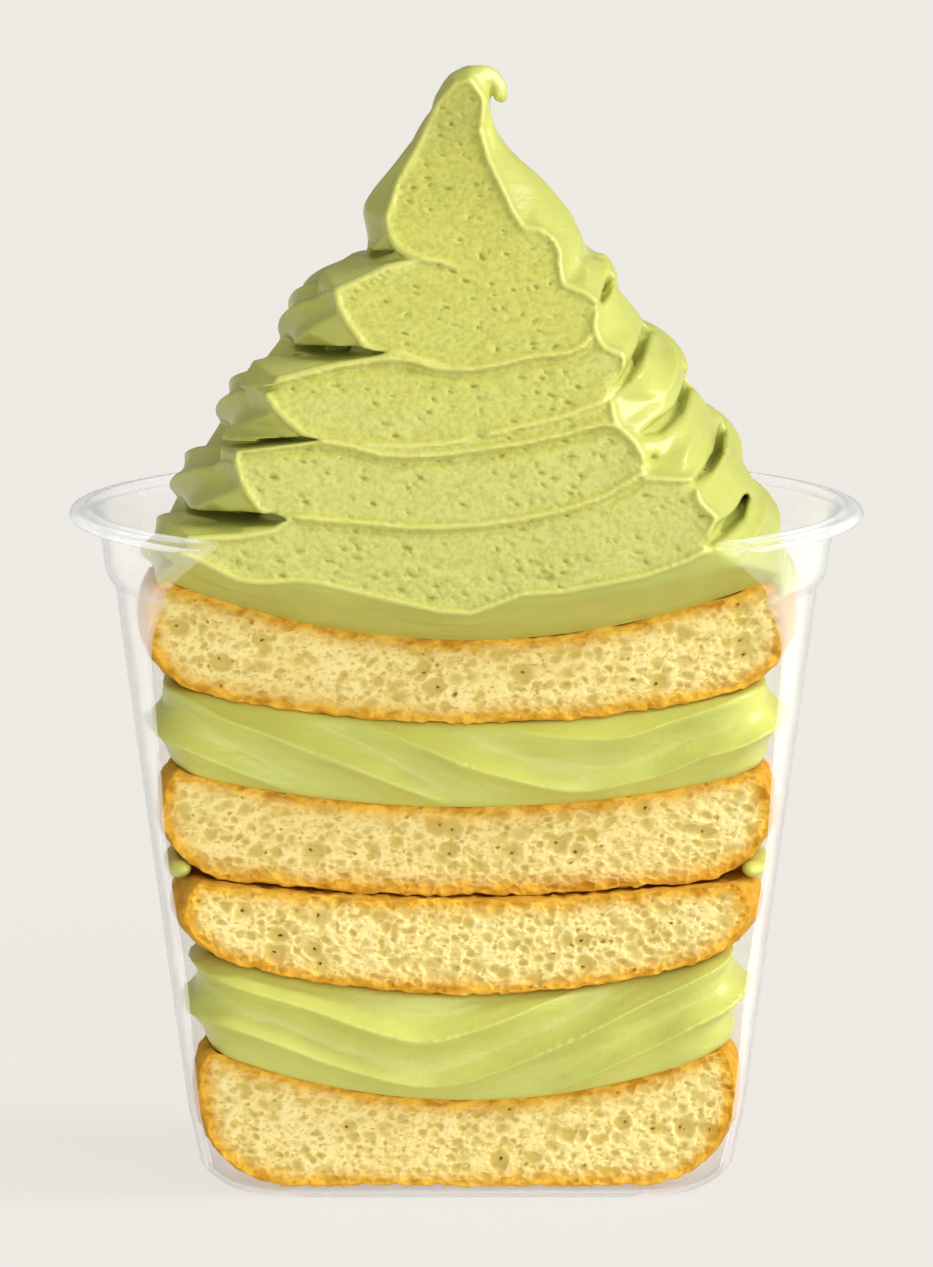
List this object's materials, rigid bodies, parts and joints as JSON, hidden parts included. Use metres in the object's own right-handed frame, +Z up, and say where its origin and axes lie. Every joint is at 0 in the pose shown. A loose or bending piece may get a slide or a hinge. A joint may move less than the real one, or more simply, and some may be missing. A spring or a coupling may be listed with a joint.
{
  "type": "soft serve cup",
  "caption": "Clear dessert cup cut away at the front, with sponge cake layers, piped pistachio cream and a tall sliced soft-serve swirl with a curled tip.",
  "frame": {"origin": "on the cup's axis, at the underside of its foot", "axes": "+Z up along the cup's axis, -Y towards the cut-away front, +X to the right as the front is seen"},
  "size_m": [0.0978, 0.0839, 0.1393],
  "materials": {
    "clear_plastic": "thin clear moulded plastic, glossy",
    "sponge": "open pale yellow crumb with a thin golden crust",
    "cream": "smooth moist pistachio cream",
    "soft_serve": "soft-serve ice cream, smooth and moist outside, finely porous where sliced"
  },
  "bodies": {
    "root": {"cup": "clear_plastic", "sponge_1": "sponge", "sponge_2": "sponge", "sponge_3": "sponge", "sponge_4": "sponge", "filling_1": "cream", "filling_2": "cream", "cream_seam": "cream", "swirl": "soft_serve"}
  },
  "joints": []
}
